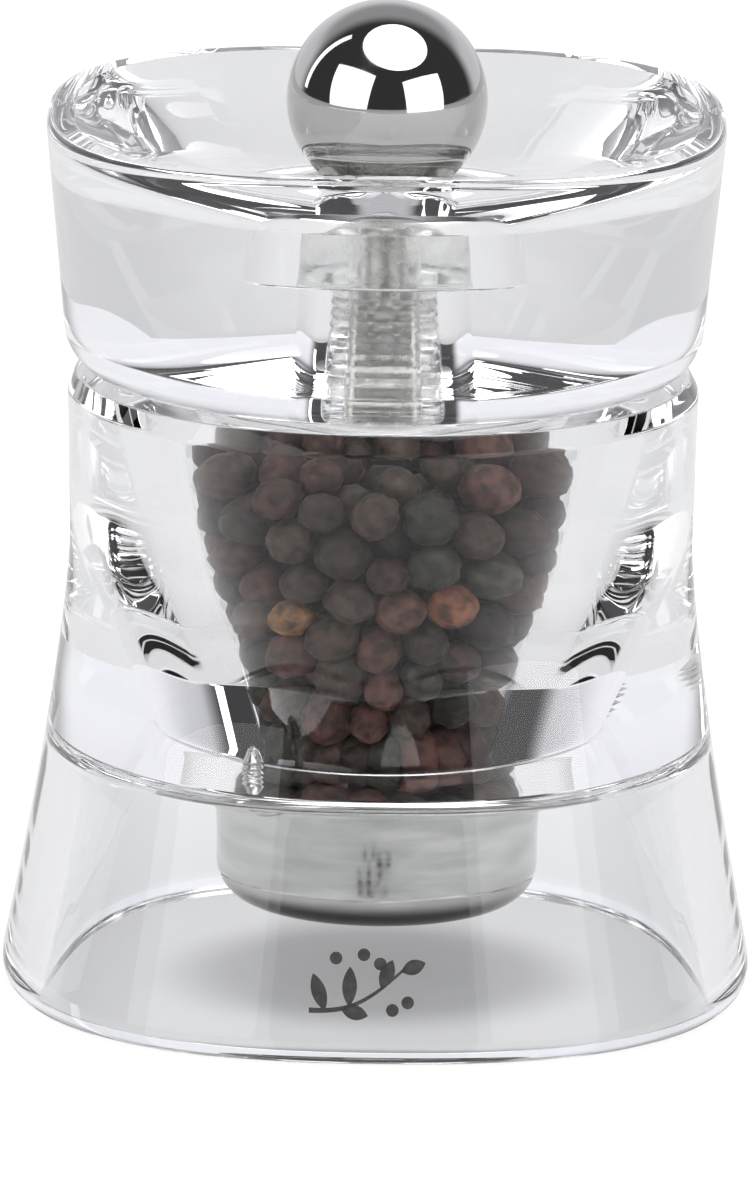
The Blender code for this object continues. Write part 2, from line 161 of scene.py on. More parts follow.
JOINT_Z = (levels("body")[1] + levels("head")[0]) / 2
BASE_SQUARENESS, JOINT_SQUARENESS, RIM_SQUARENESS = 2.45, 2.15, 2.8
# Each piece is round up to the first radius and a rounded square from the second.
BODY_SQUARING = (19.75, 21.7)
HEAD_SQUARING = (11.0, 22.0)


def superellipse(angle, power):
    """How far a rounded square with half-width 1 reaches at an angle."""
    return (np.abs(np.cos(angle)) ** power + np.abs(np.sin(angle)) ** power) ** (-1 / power)


def squareness(height):
    """The outline's power at a height: nearly a circle where head and body meet, squarer at both ends."""
    above = np.clip((height - JOINT_Z) / (RIM_Z - JOINT_Z), 0, 1)
    below = np.clip((JOINT_Z - height) / JOINT_Z, 0, 1)
    to_rim = (RIM_SQUARENESS - JOINT_SQUARENESS) * above
    to_base = (BASE_SQUARENESS - JOINT_SQUARENESS) * below
    return JOINT_SQUARENESS + to_rim + to_base


def squared(round_up_to, square_from):
    """Keeps a piece round near the axis, and makes it a rounded square at the outer walls."""

    def swell(radius, angle, height):
        share = np.clip((radius - round_up_to) / (square_from - round_up_to), 0, 1)
        share = share * share * (3 - 2 * share)
        return radius * (1 + share * (superellipse(angle, squareness(height)) - 1))

    return swell


def polygon(angle, sides):
    """How far a regular polygon with inner radius 1 reaches at an angle."""
    part = 2 * np.pi / sides
    return 1 / np.cos((angle + part / 2) % part - part / 2)


# ---------------------------------------------------------------- materials


class Surface:
    """A procedural material: a Principled shader, and helpers that add nodes in front of it."""

    def __init__(self, name, colour, roughness, metallic=0.0, transmission=0.0, ior=None):
        self.material = bpy.data.materials.new(name)
        self.material.use_nodes = True
        self.nodes = self.material.node_tree.nodes
        self.links = self.material.node_tree.links
        self.shader = self.nodes["Principled BSDF"]
        self.put("Base Color", (*colour, 1.0))
        self.put("Roughness", roughness)
        self.put("Metallic", metallic)
        self.put("Transmission Weight", transmission)
        if ior:
            self.put("IOR", ior)
        self.place = self.nodes.new("ShaderNodeTexCoord").outputs["Object"]
        self.bumps = None

    def put(self, socket, value):
        self.shader.inputs[socket].default_value = value

    def wire(self, output, socket):
        self.links.new(output, self.shader.inputs[socket])

    def math(self, operation, *values):
        node = self.nodes.new("ShaderNodeMath")
        node.operation = operation
        for socket, value in zip(node.inputs, values):
            if isinstance(value, (int, float)):
                socket.default_value = value
            else:
                self.links.new(value, socket)
        return node.outputs[0]

    def noise(self, scale, detail, place=None):
        node = self.nodes.new("ShaderNodeTexNoise")
        node.inputs["Scale"].default_value = scale
        node.inputs["Detail"].default_value = detail
        self.links.new(place or self.place, node.inputs["Vector"])
        return node.outputs["Fac"]

    def cells(self, scale):
        """Distances to the middles of rounded cells."""
        node = self.nodes.new("ShaderNodeTexVoronoi")
        node.feature = "SMOOTH_F1"
        node.inputs["Scale"].default_value = scale
        self.links.new(self.place, node.inputs["Vector"])
        return node.outputs["Distance"]

    def ranged(self, value, low, high, to_low, to_high):
        """A smooth step from to_low to to_high, as value goes from low to high."""
        node = self.nodes.new("ShaderNodeMapRange")
        node.interpolation_type = "SMOOTHSTEP"
        for socket, number in zip(list(node.inputs)[1:5], (low, high, to_low, to_high)):
            socket.default_value = number
        self.links.new(value, node.inputs[0])
        return node.outputs[0]

    def ramp(self, value, *stops):
        """A colour for a value, from two (position, colour) stops."""
        node = self.nodes.new("ShaderNodeValToRGB")
        for element, (position, colour) in zip(node.color_ramp.elements, stops):
            element.position = position
            element.color = (*colour, 1.0)
        self.links.new(value, node.inputs[0])
        return node.outputs[0]

    def blended(self, share, first, second, mode="MIX"):
        """The first colour with a share of the second mixed or added in."""
        node = self.nodes.new("ShaderNodeMix")
        node.data_type = "RGBA"
        node.blend_type = mode
        for socket, value in ((node.inputs[0], share), (node.inputs[6], first), (node.inputs[7], second)):
            if isinstance(value, tuple):
                socket.default_value = (*value, 1.0)
            else:
                self.links.new(value, socket)
        return node.outputs[2]

    def bump(self, height, depth, strength=1.0):
        """Adds a bump whose full height is depth millimetres."""
        node = self.nodes.new("ShaderNodeBump")
        node.inputs["Strength"].default_value = strength
        node.inputs["Distance"].default_value = depth * MM
        self.links.new(height, node.inputs["Height"])
        if self.bumps:
            self.links.new(self.bumps, node.inputs["Normal"])
        self.bumps = node.outputs[0]
        self.wire(self.bumps, "Normal")

    def round_the_axis(self, across, along):
        """Coordinates for marks that run round the Z axis: fine across them, long along them."""
        parts = self.nodes.new("ShaderNodeSeparateXYZ")
        self.links.new(self.place, parts.inputs[0])
        x, y, z = parts.outputs
        x_squared, y_squared = self.math("MULTIPLY", x, x), self.math("MULTIPLY", y, y)
        radius = self.math("SQRT", self.math("ADD", x_squared, y_squared))
        made = self.nodes.new("ShaderNodeCombineXYZ")
        self.links.new(self.math("MULTIPLY", radius, across), made.inputs[0])
        self.links.new(self.math("MULTIPLY", z, across), made.inputs[1])
        self.links.new(self.math("MULTIPLY", self.math("ARCTAN2", y, x), along), made.inputs[2])
        return made.outputs[0]


def clear_acrylic():
    s = Surface("clear_acrylic", (0.955, 0.96, 0.972), 0.0, transmission=1.0, ior=1.49)
    s.put("Specular Tint", (0.5, 0.5, 0.5, 1.0))
    s.wire(s.ranged(s.noise(140, 3.0), 0.52, 0.8, 0.0, 0.05), "Roughness")
    s.bump(s.noise(55, 1.0), 0.05, 0.35)
    return s.material


def translucent_plastic():
    s = Surface("translucent_plastic", (0.95, 0.95, 0.93), 0.2, transmission=0.88, ior=1.46)
    s.wire(s.ranged(s.noise(500, 3.0), 0.35, 0.7, 0.08, 0.3), "Roughness")
    s.wire(s.ramp(s.noise(900, 2.0), (0.35, (0.9, 0.9, 0.86)), (0.6, (1.0, 1.0, 0.98))), "Base Color")
    s.bump(s.noise(1100, 2.0), 0.05, 0.6)
    return s.material


def polished_steel():
    s = Surface("polished_steel", (0.5, 0.5, 0.49), 0.04, metallic=1.0)
    s.wire(s.ranged(s.noise(300, 4.0), 0.45, 0.75, 0.03, 0.11), "Roughness")
    s.bump(s.noise(1.0, 4.0, s.round_the_axis(2500, 1.5)), 0.002, 0.3)
    return s.material


def brushed_steel(name="brushed_steel", painted_dark_z=None, painted_dark_top_z=None):
    """Steel brushed round the axis. Given two heights, its colour darkens from the upper height down to the
    lower one, a painted dark reflection.
    """
    s = Surface(name, (0.52, 0.52, 0.5), 0.3, metallic=1.0)
    streaks = s.noise(1.0, 3.0, s.round_the_axis(5500, 3.0))
    broad = s.noise(1.0, 2.0, s.round_the_axis(700, 2.0))
    s.wire(s.ranged(streaks, 0.3, 0.7, 0.1, 0.2), "Roughness")
    colour = s.ramp(broad, (0.3, (0.46, 0.46, 0.45)), (0.7, (0.62, 0.62, 0.6)))
    # Painted dark reflection: the steel colour fades to near black towards the lower height.
    if painted_dark_z is not None:
        parts = s.nodes.new("ShaderNodeSeparateXYZ")
        s.links.new(s.place, parts.inputs[0])
        share = s.ranged(parts.outputs[2], painted_dark_z * MM, painted_dark_top_z * MM, 0.0, 1.0)
        colour = s.blended(share, (0.09, 0.09, 0.085), colour)
    s.wire(colour, "Base Color")
    s.bump(streaks, 0.004, 0.5)
    return s.material


def drawn_steel(name, colour):
    s = Surface(name, colour, 0.35, metallic=1.0)
    s.wire(s.ranged(s.noise(800, 3.0), 0.3, 0.7, 0.25, 0.5), "Roughness")
    darker = tuple(c * 0.7 for c in colour)
    s.wire(s.ramp(s.noise(250, 3.0), (0.35, darker), (0.65, colour)), "Base Color")
    s.bump(s.noise(1600, 2.0), 0.01, 0.4)
    return s.material


def moulded(name, colour, roughness):
    s = Surface(name, colour, roughness)
    s.wire(s.ranged(s.noise(900, 2.0), 0.3, 0.7, roughness - 0.08, roughness + 0.12), "Roughness")
    paler = tuple(min(1.0, c * 1.25 + 0.01) for c in colour)
    s.wire(s.ramp(s.noise(260, 2.0), (0.4, colour), (0.7, paler)), "Base Color")
    s.bump(s.noise(1800, 2.0), 0.012, 0.5)
    return s.material


def peppercorn_husk():
    s = Surface("peppercorn_husk", (0.1, 0.08, 0.06), 0.7)
    tint = s.nodes.new("ShaderNodeAttribute")
    tint.attribute_name = "husk"
    patches = s.ranged(s.noise(900, 3.0), 0.35, 0.7, 0.0, 0.8)
    mottled = s.blended(patches, tint.outputs["Color"], (0.012, 0.009, 0.007))
    folds = s.cells(900)
    dusty = s.blended(s.ranged(folds, 0.35, 0.75, 0.0, 0.4), mottled, tint.outputs["Color"], "ADD")
    s.wire(dusty, "Base Color")
    s.wire(s.ranged(s.noise(1500, 2.0), 0.3, 0.7, 0.5, 0.8), "Roughness")
    s.bump(folds, 0.45, 1.0)
    s.bump(s.noise(2600, 3.0), 0.12, 0.7)
    return s.material


def thin_print():
    s = Surface("thin_print", (0.1, 0.1, 0.1), 0.55)
    uneven = s.noise(1500, 2.0)
    s.wire(s.ramp(uneven, (0.3, (0.02, 0.02, 0.02)), (0.7, (0.045, 0.045, 0.045))), "Base Color")
    s.wire(s.ranged(s.noise(2000, 1.0), 0.3, 0.7, 0.45, 0.65), "Roughness")
    return s.material


ACRYLIC = clear_acrylic()
PLASTIC = translucent_plastic()
POLISHED = polished_steel()
BRUSHED = brushed_steel()
WIRE = drawn_steel("spring_wire", (0.5, 0.5, 0.47))
HARDENED = drawn_steel("hardened_steel", (0.2, 0.2, 0.21))
BRASS = drawn_steel("turned_brass", (0.72, 0.54, 0.27))
RUBBER = moulded("black_rubber", (0.018, 0.018, 0.018), 0.55)
BLACK_PLASTIC = moulded("black_plastic", (0.03, 0.03, 0.03), 0.4)
SILICONE = moulded("pale_silicone", (0.62, 0.61, 0.58), 0.5)
HUSK = peppercorn_husk()
PRINT = thin_print()


# ---------------------------------------------------------------- acrylic body and head

FOOT_Z, SHOULDER_Z = levels("body")
HEAD_LOW_Z, RIM_Z = levels("head")
BASE_HALF, SHOULDER_HALF, WAIST_HALF, WAIST_Z, FLARE_POWER = 30.5, 25.3, 25.0, 36.0, 1.35
SKIRT_WALL, CEILING_Z = 3.6, 20.0
MOUTH_R, THROAT_R = 16.6, 12.2
CHAMFER_ACROSS, CHAMFER_DOWN = 0.8, 1.5
RIM_HALF, HEAD_LOW_HALF, RIM_INNER_HALF = 27.2, 25.3, 24.9
SEAT_Z, SEAT_R, DISH_SLOPE = 64.8, 10.8, 0.3
INSERT_STEM_R, INSERT_STEP_Z = 5.5, 60.2
BORE_GAP = 0.15


def flare(height):
    """Half the body's width at a height: straight above the waist, and widening to the base below it."""
    if height >= WAIST_Z:
        share = (height - WAIST_Z) / (SHOULDER_Z - WAIST_Z)
        return WAIST_HALF + (SHOULDER_HALF - WAIST_HALF) * share
    share = (WAIST_Z - height) / WAIST_Z
    return WAIST_HALF + (BASE_HALF - WAIST_HALF) * share**FLARE_POWER


def chamber_r(height):
    """The chamber's radius at a height, or at each of an array of heights."""
    share = np.clip((height - CEILING_Z) / (SHOULDER_Z - CEILING_Z), 0, 1)
    return THROAT_R + (MOUTH_R - THROAT_R) * np.sin(share * math.pi / 2)


def body_outline():
    wall = [(flare(z), z, 0) for z in np.linspace(46.0, 3.0, 30)]
    skirt = [(flare(z) - SKIRT_WALL, z, 0) for z in np.linspace(1.0, CEILING_Z - 3.0, 10)]
    chamber = [(chamber_r(z), z, 0) for z in np.linspace(CEILING_Z + 0.8, SHOULDER_Z - 1.0, 26)]
    return rounded(
        [
            (MOUTH_R, SHOULDER_Z, 0.4),
            (SHOULDER_HALF - CHAMFER_ACROSS, SHOULDER_Z, 0.2),
            (SHOULDER_HALF, SHOULDER_Z - CHAMFER_DOWN, 1.0),
            *wall,
            (BASE_HALF, FOOT_Z, 1.8),
            (flare(0) - SKIRT_WALL, FOOT_Z, 0.3),
            *skirt,
            (flare(CEILING_Z) - SKIRT_WALL, CEILING_Z, 1.5),
            (chamber_r(CEILING_Z), CEILING_Z, 0.2),
            *chamber,
        ],
        pieces=10,
    )


def dish(points=24):
    """The head's top, from the flat seat of the knob out to the rim: a slope that steepens outwards."""
    across = RIM_INNER_HALF - SEAT_R
    bend = ((RIM_Z - SEAT_Z) / across - DISH_SLOPE) / across
    steps = np.linspace(0, across, points + 1)[:-1]
    return [(SEAT_R + t, SEAT_Z + DISH_SLOPE * t + bend * t * t, 0) for t in steps]


def head_outline():
    bore_r = INSERT_STEM_R + BORE_GAP
    step_r = outer_r("drive_insert") + BORE_GAP
    step_z = INSERT_STEP_Z - BORE_GAP
    wall = [(RIM_HALF + (HEAD_LOW_HALF - RIM_HALF) * share, RIM_Z + (HEAD_LOW_Z - RIM_Z) * share, 0)
            for share in np.linspace(0.2, 0.7, 8)]
    return rounded(
        [
            *dish(),
            (RIM_INNER_HALF, RIM_Z, 0.25),
            (RIM_HALF, RIM_Z, 0.8),
            *wall,
            (HEAD_LOW_HALF, HEAD_LOW_Z, 3.8),
            (bore_r, HEAD_LOW_Z, 0.3),
            (bore_r, step_z, 0.2),
            (step_r, step_z, 0.2),
            (step_r, SEAT_Z, 0.2),
        ],
        pieces=12,
    )


body_mesh = swept("body_acrylic", body_outline(), 192, squared(*BODY_SQUARING))
body = finished("body_acrylic", body_mesh, BODY, ACRYLIC)
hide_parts("body")
head_mesh = swept("head_acrylic", head_outline(), 192, squared(*HEAD_SQUARING))
head = finished("head_acrylic", head_mesh, HEAD, ACRYLIC)
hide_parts("head")


# ---------------------------------------------------------------- drive insert, shaft and knob

THREAD_PITCH = 0.7
SHAFT_SIDE, SQUARE_TOP_Z = 5.0, 58.6
SQUARE_ROD_POWER, SQUARE_HOLE_POWER = 12.0, 9.0


def thread(radius, depth):
    """Swells a rod into a right-handed V thread."""

    def swell(radii, angles, heights):
        phase = (heights / THREAD_PITCH - angles / (2 * np.pi)) % 1.0
        groove = depth * np.abs(2 * phase - 1)
        return np.where(radii > radius - 0.01, radii - groove, radii)

    return swell


def build_insert():
    low, high = levels("drive_insert")
    flange_r, stem_r, step_z = outer_r("drive_insert"), INSERT_STEM_R, INSERT_STEP_Z
    hole, clear_r = SHAFT_SIDE / 2 + BORE_GAP, 2.7
    rib, depth = 0.9, 0.22
    rib_heights = np.arange(step_z - 0.8, low + 0.6, -rib / 2)
    ribs = [(stem_r - depth * (k % 2), z, 0) for k, z in enumerate(rib_heights)]
    outline = rounded(
        [
            (clear_r, high, 0.15),
            (flange_r, high, 0.3),
            (flange_r, step_z, 0.3),
            (stem_r, step_z, 0),
            *ribs,
            (stem_r - depth, low, 0.3),
            (hole, low, 0.2),
            (hole, SQUARE_TOP_Z + 1.2, 0),
            (clear_r, SQUARE_TOP_Z + 1.4, 0),
        ]
    )

    def square_hole(radii, angles, heights):
        inside = (radii < 3.2) & (heights < SQUARE_TOP_Z + 1.3)
        return np.where(inside, radii * superellipse(angles, SQUARE_HOLE_POWER), radii)

    insert = finished("drive_insert_moulding", swept("insert", outline, 96, square_hole), HEAD, PLASTIC)
    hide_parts("drive_insert")


def build_shaft():
    low, high = levels("shaft")
    thread_r, stud_r, square_low = 2.4, 1.6, 8.75
    upper = [(thread_r, z) for z in np.arange(high - 0.5, SQUARE_TOP_Z + 0.3, -THREAD_PITCH / 8)]
    square = [(SHAFT_SIDE / 2, z) for z in np.linspace(SQUARE_TOP_Z - 0.3, square_low + 0.3, 24)]
    lower = [(stud_r, z) for z in np.linspace(square_low, low + 0.3, 16)]
    outline = [(0.0, high), (thread_r - 0.5, high), *upper, (thread_r - 0.3, SQUARE_TOP_Z), *square, *lower,
               (stud_r - 0.3, low), (0.0, low)]

    def section(radii, angles, heights):
        inside = (heights < SQUARE_TOP_Z - 0.1) & (heights > square_low + 0.1)
        square_rod = np.where(inside, radii * superellipse(angles, SQUARE_ROD_POWER), radii)
        threaded = thread(thread_r, 0.35)(radii, angles, heights)
        return np.where(heights > SQUARE_TOP_Z + 0.2, threaded, square_rod)

    shaft = finished("shaft_steel", swept("shaft", outline, 96, section, closed=False), SPINDLE, BRUSHED)
    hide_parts("shaft")


def build_knob():
    flat_z, top_z = levels("knob")
    radius = outer_r("knob")
    centre = top_z - radius
    bore_r, bore_top = 3.7, 73.2
    low = math.asin((flat_z - centre) / radius)
    rises = np.linspace(math.pi / 2, low, 90)[:-1]
    ball = [(radius * math.cos(a), centre + radius * math.sin(a), 0) for a in rises]
    ball[0] = (0.0, top_z, 0)
    outline = rounded(
        [
            *ball,
            (radius * math.cos(low), flat_z, 0.15),
            (bore_r, flat_z, 0.2),
            (bore_r, bore_top, 0.3),
            (0.0, bore_top, 0),
        ]
    )
    knob = finished("knob_ball", swept("knob", outline, 160, closed=False), KNOB, POLISHED)
    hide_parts("knob")


def ring(name, node, inner, body_name, surface, edge):
    """A ring that stands for a plain ring node, with its edges rounded."""
    low, high = levels(node)
    outer = outer_r(node)
    outline = rounded([(inner, high, edge), (outer, high, edge), (outer, low, edge), (inner, low, edge)], 4)
    piece = finished(name, swept(name, outline), body_name, surface)
    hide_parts(node)


def build_bush():
    low, high = levels("knob_bush")
    outer, inner = outer_r("knob_bush"), 2.65
    inside = [(inner + 0.3, z) for z in np.arange(low + 0.3, high - 0.3, THREAD_PITCH / 8)]
    outline = [(inner + 0.3, high), (outer - 0.2, high), (outer, high - 0.2), (outer, low + 0.2),
               (outer - 0.2, low), (inner + 0.3, low), *inside]

    def section(radii, angles, heights):
        phase = (heights / THREAD_PITCH - angles / (2 * np.pi)) % 1.0
        return np.where(radii < 3.1, radii - 0.3 * np.abs(2 * phase - 1), radii)

    bush = finished("knob_bush_brass", swept("knob_bush", outline, 72, section), KNOB, BRASS)
    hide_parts("knob_bush")


build_insert()
build_shaft()
build_knob()
build_bush()
ring("knob_washer_rubber", "knob_washer", 2.65, SEAT, RUBBER, 0.15)


# ---------------------------------------------------------------- grinding unit

FLANGE = 0.8


def build_housing():
    low, high = levels("grinder_housing")
    flange_r, cup_r, sheet = outer_r("grinder_housing"), 13.15, 0.6
    mouth_r, bend = 9.2, 3.2
    outline = rounded(
        [
            (cup_r - sheet, high, 0.8),
            (flange_r, high, 0.25),
            (flange_r, high - FLANGE, 0.25),
            (cup_r, high - FLANGE, 0.35),
            (cup_r, low, bend),
            (mouth_r, low, 0.2),
            (mouth_r, low + sheet, 0.2),
            (cup_r - sheet, low + sheet, bend - sheet),
        ],
        12,
    )
    # The cup's lower bend has a painted dark reflection of the shade beneath the cup, darker steel from low
    # + 2.6 down to low + 1.2.
    cup_steel_painted_reflection = brushed_steel("cup_steel_painted_reflection", low + 1.2, low + 2.6)
    housing = finished("housing_steel", swept("housing", outline, 192), BODY, cup_steel_painted_reflection)
    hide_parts("grinder_housing")


def build_screws():
    """Slotted pan-head screws."""
    for index in (1, 2):
        node = f"flange_screw_{index}"
        (x0, y0, low), (x1, y1, high) = span(node)
        head_r, shank_r, pitch = (x1 - x0) / 2, 0.8, 0.5
        head_top = levels("grinder_housing")[1] - FLANGE - 0.15
        turns = [(shank_r, z) for z in np.arange(high - 1.3, head_top + 0.1, -0.06)]
        outline = [(0.0, high), (shank_r * 0.5, high - 0.4), *turns, (shank_r, head_top),
                   (head_r - 0.1, head_top), (head_r, head_top - 0.12), (head_r, head_top - 0.45),
                   (head_r * 0.85, head_top - 0.85), (head_r * 0.5, low + 0.03), (0.0, low)]

        def section(radii, angles, heights):
            phase = (heights / pitch - angles / (2 * np.pi)) % 1.0
            on_shank = (radii > shank_r - 0.01) & (radii < shank_r + 0.01) & (heights > head_top + 0.05)
            return np.where(on_shank, radii - 0.16 * np.abs(2 * phase - 1), radii)

        mesh = swept(node, outline, 48, section, closed=False)
        centre = Vector(((x0 + x1) / 2 * MM, (y0 + y1) / 2 * MM, 0))
        mesh.transform(Matrix.Translation(centre))
        screw = finished(f"{node}_pan_head", mesh, BODY, BRUSHED)
        slot = bpy.data.meshes.new("screw_slot")
        work = bmesh.new()
        bmesh.ops.create_cube(work, size=1.0)
        bmesh.ops.scale(work, vec=(4 * MM, 0.45 * MM, 0.9 * MM), verts=work.verts)
        bmesh.ops.translate(work, vec=centre + Vector((0, 0, low * MM)), verts=work.verts)
        work.to_mesh(slot)
        work.free()
        cutter = bpy.data.objects.new("screw_slot", slot)
        bpy.context.scene.collection.objects.link(cutter)
        cut = screw.modifiers.new("slot", "BOOLEAN")
        cut.object = cutter
        apply_modifiers(screw)
        bpy.data.objects.remove(cutter)
        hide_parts(node)


def apply_modifiers(piece):
    graph = bpy.context.evaluated_depsgraph_get()
    mesh = bpy.data.meshes.new_from_object(piece.evaluated_get(graph))
    piece.modifiers.clear()
    piece.data = mesh


def build_spring():
    """Closed ends, open turns between them."""
    low, high = levels("spring")
    wire_r, turns, per_turn, sides = 0.35, 4.0, 48, 12
    mean_r = outer_r("spring") - wire_r
    bottom, top = low + wire_r, high - wire_r
    rows = int((turns + 1.5) * per_turn)
    points = []
    for row in range(rows + 1):
        turn = row / per_turn
        share = min(1.0, max(0.0, (turn - 0.75) / turns))
        share = share * share * (3 - 2 * share) * 0.35 + share * 0.65
        z = bottom + (top - bottom) * share
        angle = 2 * math.pi * turn
        for side in range(sides):
            a = 2 * math.pi * side / sides
            r = mean_r + wire_r * math.cos(a)
            rise = (z + wire_r * math.sin(a)) * MM
            points.append((r * math.cos(angle) * MM, r * math.sin(angle) * MM, rise))
    faces = []
    for row in range(rows):
        here, ahead = row * sides, (row + 1) * sides
        for side in range(sides):
            beside = (side + 1) % sides
            faces.append((here + side, here + beside, ahead + beside, ahead + side))
    faces.append(tuple(reversed(range(sides))))
    faces.append(tuple(range(rows * sides, (rows + 1) * sides)))
    mesh = bpy.data.meshes.new("spring_coil")
    mesh.from_pydata(points, [], faces)
    work = bmesh.new()
    work.from_mesh(mesh)
    bmesh.ops.recalc_face_normals(work, faces=work.faces)
    work.to_mesh(mesh)
    work.free()
    spring = finished("spring_coil", mesh, STACK, WIRE)
    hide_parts("spring")
    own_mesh(spring)


def spiral_teeth(angle, height, count, lean, depth):
    """How far spiral saw teeth cut into a flank."""
    phase = (angle * count / (2 * np.pi) + lean * height) % 1.0
    return depth * np.where(phase < 0.85, 1 - phase / 0.85, (phase - 0.85) / 0.15)


def subdivided(corners):
    """Points along the straight runs between corners, without the last corner."""
    points = []
    for (r0, z0), (r1, z1) in zip(corners, corners[1:]):
        points += [(r0 + (r1 - r0) * t, z0 + (z1 - z0) * t) for t in np.linspace(0, 1, 8)[:-1]]
    return points


def build_rotor():
    low, high = levels("rotor")
    base_r, bore_r, nut_room_z = 7.5, 3.9, 8.75
    hole = SHAFT_SIDE / 2 + BORE_GAP
    flank = [(4.9, high), (5.6, high - 1.2), (6.5, high - 2.4), (7.1, high - 3.4), (base_r, low)]
    outline = [(hole, high), *subdivided(flank), (base_r, low), (bore_r, low), (bore_r, nut_room_z),
               (hole, nut_room_z)]

    def section(radii, angles, heights):
        teeth = spiral_teeth(angles, heights, 12, 0.12, 0.35 + 0.16 * (heights - low))
        inner = np.where(radii < 3.2, radii * superellipse(angles, SQUARE_HOLE_POWER), radii)
        return np.where(radii > 4.5, radii - teeth, inner)

    rotor = finished("rotor_teeth", swept("rotor", outline, 288, section), SPINDLE, HARDENED, 30)
    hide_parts("rotor")


def build_stator():
    low, high = levels("stator")
    outer, mouth_r = outer_r("stator"), 10.9
    bore = [(8.3, low), (8.0, low + 1.0), (7.7, low + 2.2), (8.6, low + 3.6), (mouth_r, high)]
    outline = [(mouth_r, high), (outer - 0.2, high), (outer, high - 0.2), (outer, low + 2.6),
               (outer - 2.2, low), *subdivided(bore)]

    def section(radii, angles, heights):
        inside = (radii < 9.5) & (heights < high - 1)
        teeth = spiral_teeth(angles, heights, 15, -0.1, 0.4 + 0.1 * (heights - low))
        return np.where(inside, radii + teeth, radii)

    stator = finished("stator_teeth", swept("stator", outline, 300, section), BODY, HARDENED, 30)
    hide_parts("stator")


def build_nut():
    """A hexagon nut with its corners chamfered and a threaded bore."""
    low, high = levels("rotor_nut")
    inner, flats, pitch = 1.75, 2.5, 0.35
    corner = flats + 0.42
    bore = [(inner + 0.1, z) for z in np.arange(low + 0.1, high - 0.05, 0.05)]
    outline = [(inner + 0.1, high), (flats, high), (corner, high - 0.18), (corner, low + 0.18),
               (flats, low), (inner + 0.1, low), *bore]

    def section(radii, angles, heights):
        hexagon = np.minimum(radii, flats * polygon(angles, 6))
        phase = (heights / pitch - angles / (2 * np.pi)) % 1.0
        return np.where(radii < 2.0, radii - 0.1 * np.abs(2 * phase - 1), hexagon)

    nut = finished("rotor_nut_hexagon", swept("nut", outline, 96, section), SPINDLE, BRUSHED, 25)
    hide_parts("rotor_nut")


def keep_cad(node, surface):
    """A CAD node that stays, with its own finish and its edges broken."""
    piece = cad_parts[node]
    piece.data.materials.clear()
    piece.data.materials.append(surface)
    edges = piece.modifiers.new("edges", "BEVEL")
    edges.width = 0.08 * MM
    edges.segments = 2
    edges.limit_method = "ANGLE"
    edges.angle_limit = math.radians(40)


build_housing()
build_screws()
build_spring()
build_rotor()
build_stator()
build_nut()
ring("flange_seal_ring", "flange_seal", chamber_r(CEILING_Z) + 0.15, BODY, SILICONE, 0.2)
ring("thrust_washer_ring", "thrust_washer", 3.4, STACK, BRUSHED, 0.08)
ring("rotor_washer_ring", "rotor_washer", 1.75, SPINDLE, BRUSHED, 0.08)
keep_cad("bridge_plate", BRUSHED)
keep_cad("stator_spacer", BRUSHED)
keep_cad("bridge_circlip", WIRE)
keep_cad("guide_bush", BLACK_PLASTIC)


# ---------------------------------------------------------------- peppercorns

BRIM_Z = 46.6
FALLING_STEPS, RESTING_STEPS = 330, 90
SMALLEST_R, LARGEST_R = 1.7, 2.25
PALE_PEPPERCORNS = [((-5.6, -11.6, 32.8), (0.33, 0.16, 0.06)), ((6.8, -11.2, 34.6), (0.3, 0.115, 0.06))]


def settle(count, seed):
    """Peppercorns poured into the chamber: centres and radii after they have dropped and pushed apart."""
    rng = np.random.default_rng(seed)
    floor_z, shaft_r = levels("bridge_circlip")[1] + 0.2, 3.45
    radii = rng.uniform(SMALLEST_R, LARGEST_R, count)
    places = np.empty((count, 3))
    places[:, 2] = rng.uniform(floor_z, BRIM_Z + 14, count)
    turn = rng.uniform(0, 2 * np.pi, count)
    reach = np.sqrt(rng.uniform(0.06, 0.9, count)) * 15
    places[:, 0], places[:, 1] = reach * np.cos(turn), reach * np.sin(turn)
    for step in range(FALLING_STEPS + RESTING_STEPS):
        places[:, 2] -= 0.22 if step < FALLING_STEPS else 0.02
        for _ in range(3):
            apart = places[:, None] - places[None]
            distance = np.sqrt((apart**2).sum(-1)) + np.eye(count) * 99
            overlap = np.clip(radii[:, None] + radii[None] - distance, 0, None)
            places += 0.5 * (apart / distance[..., None] * overlap[..., None]).sum(1) * 0.6
            wall = chamber_r(places[:, 2]) - 0.12
            across = np.hypot(places[:, 0], places[:, 1]) + 1e-9
            allowed = np.clip(across, shaft_r + radii, np.maximum(wall - radii, shaft_r + radii))
            places[:, :2] *= (allowed / across)[:, None]
            places[:, 2] = np.maximum(places[:, 2], floor_z + radii)
    kept = places[:, 2] + radii < BRIM_Z
    return places[kept], radii[kept], rng


def husk_shapes(kinds, fineness):
    """Unit peppercorns, each a sphere shrunk into its own net of wrinkles."""
    shapes = []
    for kind in range(kinds):
        work = bmesh.new()
        bmesh.ops.create_icosphere(work, subdivisions=fineness, radius=1.0)
        shift = Vector((kind * 7.3, kind * 3.1, kind * 5.7))
        for vertex in work.verts:
            place = vertex.co
            ridge = 1 - abs(noise.noise(place * 2.9 + shift)) * 2
            fold = 1 - abs(noise.noise(place * 5.8 + shift)) * 2
            lump = noise.noise(place * 1.1 + shift)
            vertex.co = place * (0.9 + 0.09 * ridge**3 + 0.06 * fold + 0.08 * lump)
        faces = np.array([[v.index for v in face.verts] for face in work.faces])
        shapes.append((np.array([v.co for v in work.verts]), faces))
        work.free()
    return shapes


def husk_colour(rng):
    """Mostly blackish brown, some reddish, some greenish."""
    kind = rng.random()
    base = np.array((0.067, 0.042, 0.03))
    if kind > 0.68:
        base = np.array((0.106, 0.045, 0.035))
    elif kind > 0.48:
        base = np.array((0.052, 0.048, 0.034))
    return tuple(base * rng.uniform(0.45, 1.5))


